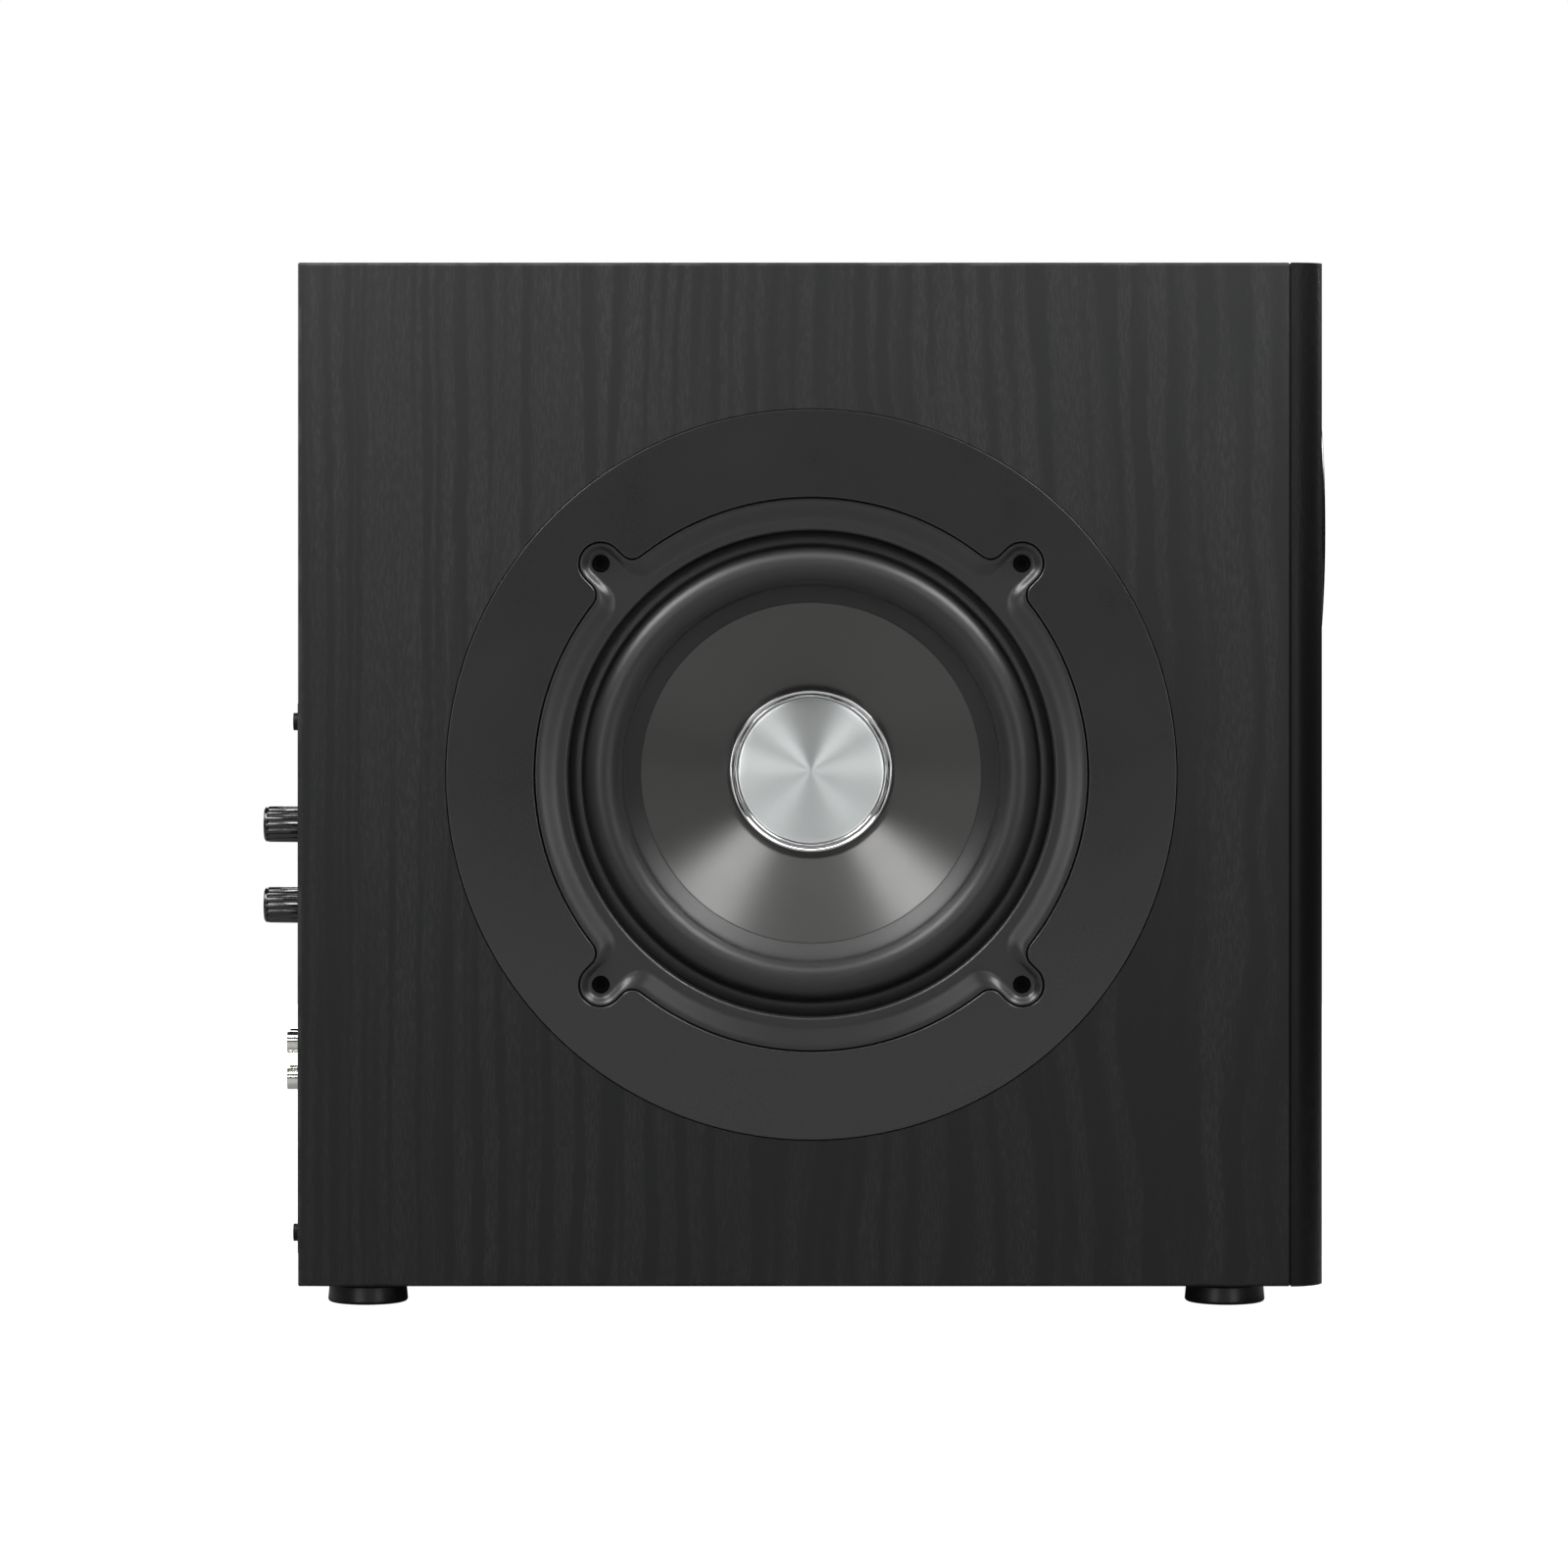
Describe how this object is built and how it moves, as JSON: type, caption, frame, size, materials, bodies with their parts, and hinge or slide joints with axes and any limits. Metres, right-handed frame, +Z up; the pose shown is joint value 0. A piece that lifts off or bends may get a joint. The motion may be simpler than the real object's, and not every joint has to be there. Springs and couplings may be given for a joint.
{
  "type": "powered subwoofer",
  "caption": "Box-shaped powered subwoofer with a side-firing ring-trimmed driver, a flared round port in front, round rubber feet and a rear amplifier panel with knobs and phono jacks.",
  "frame": {"origin": "centre of the overall footprint on the floor, under the feet", "axes": "+Z up; -Y is the front, where the port is; +Y is the rear, where the amplifier panel is; -X is the side with the driver; +X is the plain side"},
  "size_m": [0.3302, 0.4088, 0.389],
  "materials": {
    "vinyl_wrap": "dark woodgrain vinyl over fibreboard",
    "baffle_wrap": "dark woodgrain vinyl over fibreboard",
    "fibreboard": "raw fibreboard",
    "wadding": "loose polyester wadding",
    "foot_rubber": "satin moulded rubber",
    "zinc_steel": "zinc-plated steel",
    "black_steel": "black oxide steel",
    "trim_plastic": "fine satin texture",
    "basket_metal": "satin black coating",
    "gasket_foam": "closed-cell foam",
    "surround_rubber": "satin butyl rubber",
    "cone_aluminium": "dark anodised, finely spun",
    "cap_aluminium": "spun with circular marks",
    "chrome_ring": "polished",
    "former_film": "high-temperature film",
    "copper_wire": "enamelled copper winding",
    "spider_cloth": "resin-dipped woven cloth",
    "motor_steel": "zinc-plated steel",
    "ferrite": "sintered ferrite",
    "port_plastic": "gloss black",
    "tube_card": "black wound card",
    "panel_paint": "fine black texture coat",
    "knob_plastic": "gloss black",
    "marker_paint": "white print",
    "shaft_metal": "turned",
    "nickel": "bright nickel plate",
    "jack_white": "moulded insulator",
    "jack_red": "moulded insulator",
    "black_plastic": "moulded nylon",
    "light_red": "tinted lens",
    "board_green": "solder-masked glass epoxy",
    "sink_aluminium": "extruded",
    "can_sleeve": "heat-shrunk sleeve",
    "toroid_film": "yellow polyester film wrap",
    "lead_red": "flexible insulation",
    "terminal_card": "pressed board with tinned lugs"
  },
  "bodies": {
    "cabinet": {"driver_side_panel": "vinyl_wrap", "plain_side_panel": "vinyl_wrap", "top_panel": "vinyl_wrap", "bottom_panel": "vinyl_wrap", "front_baffle": "baffle_wrap", "rear_panel": "baffle_wrap", "cross_brace": "fibreboard", "damping_wool": "wadding", "foot_front_left": "foot_rubber", "foot_front_right": "foot_rubber", "foot_rear_left": "foot_rubber", "foot_rear_right": "foot_rubber", "foot_screws": "zinc_steel", "driver_trim_ring": "trim_plastic", "driver_basket": "basket_metal", "driver_gasket": "gasket_foam", "driver_screws": "black_steel", "top_plate": "motor_steel", "magnet": "ferrite", "pole_yoke": "motor_steel", "magnet_boot": "gasket_foam", "terminal_board": "terminal_card", "port_flare": "port_plastic", "port_tube": "tube_card", "amp_panel": "panel_paint", "amp_seal": "gasket_foam", "amp_screws": "black_steel", "potentiometers": "nickel", "pot_nuts": "nickel", "jack_block": "black_plastic", "jack_shells": "nickel", "jack_inserts_white": "jack_white", "jack_inserts_red": "jack_red", "phase_switch": "nickel", "rocker_frame": "black_plastic", "mains_inlet": "black_plastic", "inlet_pins": "nickel", "indicator_light": "light_red", "circuit_board": "board_green", "heat_sink": "sink_aluminium", "capacitors": "can_sleeve", "transformer": "toroid_film", "transformer_mount": "zinc_steel", "driver_lead": "lead_red"},
    "diaphragm": {"cone": "cone_aluminium", "dust_cap": "cap_aluminium", "dust_cap_ring": "chrome_ring", "voice_coil_former": "former_film", "voice_coil": "copper_wire", "surround": "surround_rubber", "spider": "spider_cloth", "flexible_leads": "copper_wire"},
    "volume_control": {"volume_knob": "knob_plastic", "volume_marker": "marker_paint", "volume_shaft": "shaft_metal"},
    "lowpass_control": {"lowpass_knob": "knob_plastic", "lowpass_marker": "marker_paint", "lowpass_shaft": "shaft_metal"},
    "phase_control": {"phase_slider": "black_plastic"},
    "power_control": {"power_rocker": "black_plastic"}
  },
  "joints": [
    {"name": "diaphragm_slide", "type": "slide", "parent": "cabinet", "child": "diaphragm", "axis": [-1, 0, 0], "range_m": [-0.005, 0.005], "stiffness_N_per_m": 1500, "deforming": ["surround", "spider", "flexible_leads"]},
    {"name": "volume_turn", "type": "hinge", "parent": "cabinet", "child": "volume_control", "pos_m": [-0.098, 0.1884, 0.1772], "axis": [0, 1, 0], "range_deg": [-150, 150]},
    {"name": "lowpass_turn", "type": "hinge", "parent": "cabinet", "child": "lowpass_control", "pos_m": [-0.098, 0.1884, 0.1464], "axis": [0, 1, 0], "range_deg": [-150, 150]},
    {"name": "phase_slide", "type": "slide", "parent": "cabinet", "child": "phase_control", "axis": [1, 0, 0], "range_m": [0, 0.003]},
    {"name": "power_rock", "type": "hinge", "parent": "cabinet", "child": "power_control", "pos_m": [0.092, 0.1849, 0.137], "axis": [1, 0, 0], "range_deg": [0, 16]}
  ]
}
